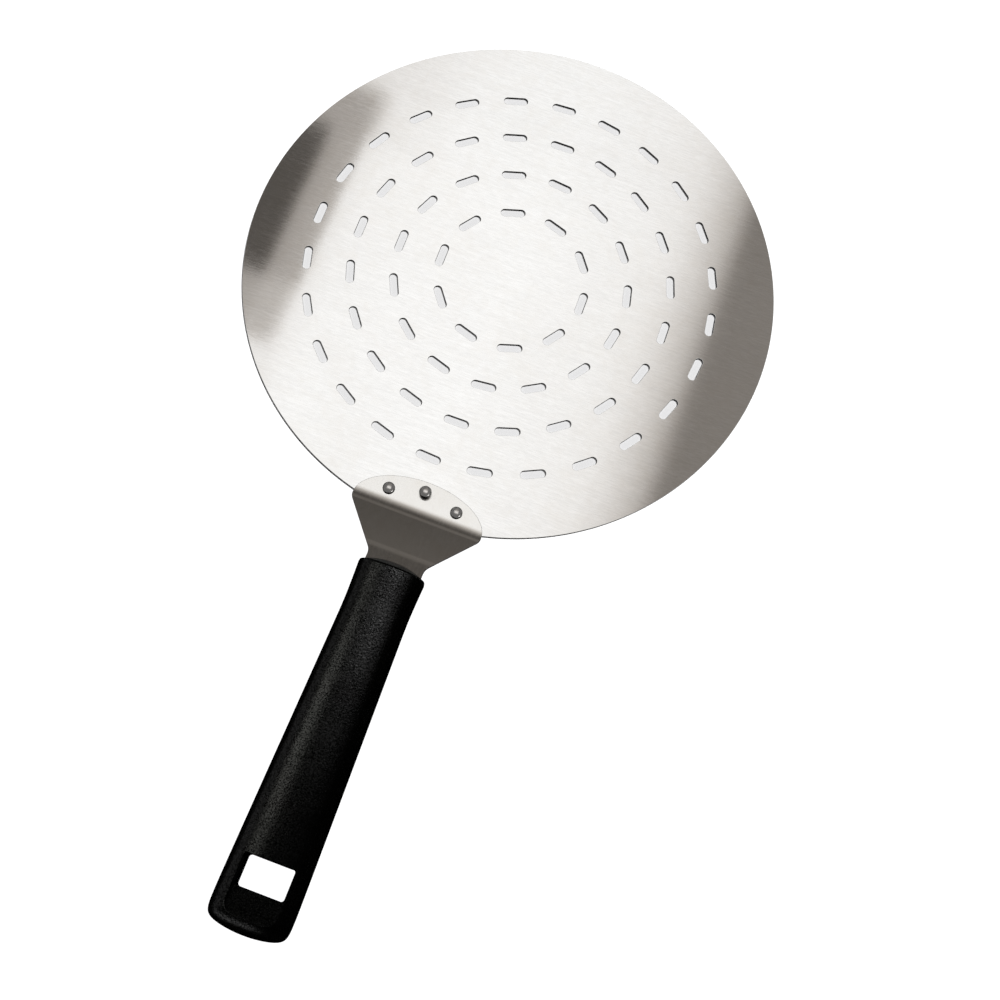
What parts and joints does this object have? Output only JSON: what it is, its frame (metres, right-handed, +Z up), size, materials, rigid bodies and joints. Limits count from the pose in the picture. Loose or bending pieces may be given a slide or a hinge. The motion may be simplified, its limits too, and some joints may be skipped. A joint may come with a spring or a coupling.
{
  "type": "pizza peel",
  "caption": "Round perforated steel pizza peel with a riveted, stepped neck and a black moulded grip that has a rectangular hanging window.",
  "frame": {"origin": "centre of the blade's flat underside, which rests on the table", "axes": "+Z up, out of the blade's upper face; +Y from the grip towards the blade's far edge; +X to the right of someone who holds the grip"},
  "size_m": [0.254, 0.4388, 0.0326],
  "materials": {
    "blade_steel": "brushed across the blade, at right angles to the handle",
    "neck_steel": "brushed along the handle",
    "rivet_steel": "polished",
    "cap_plastic": "smooth satin black",
    "grip_plastic": "fine moulded grain"
  },
  "bodies": {
    "root": {"blade": "blade_steel", "neck_bracket": "neck_steel", "rivet_left": "rivet_steel", "rivet_middle": "rivet_steel", "rivet_right": "rivet_steel", "front_cap": "cap_plastic", "grip": "grip_plastic"}
  },
  "joints": []
}
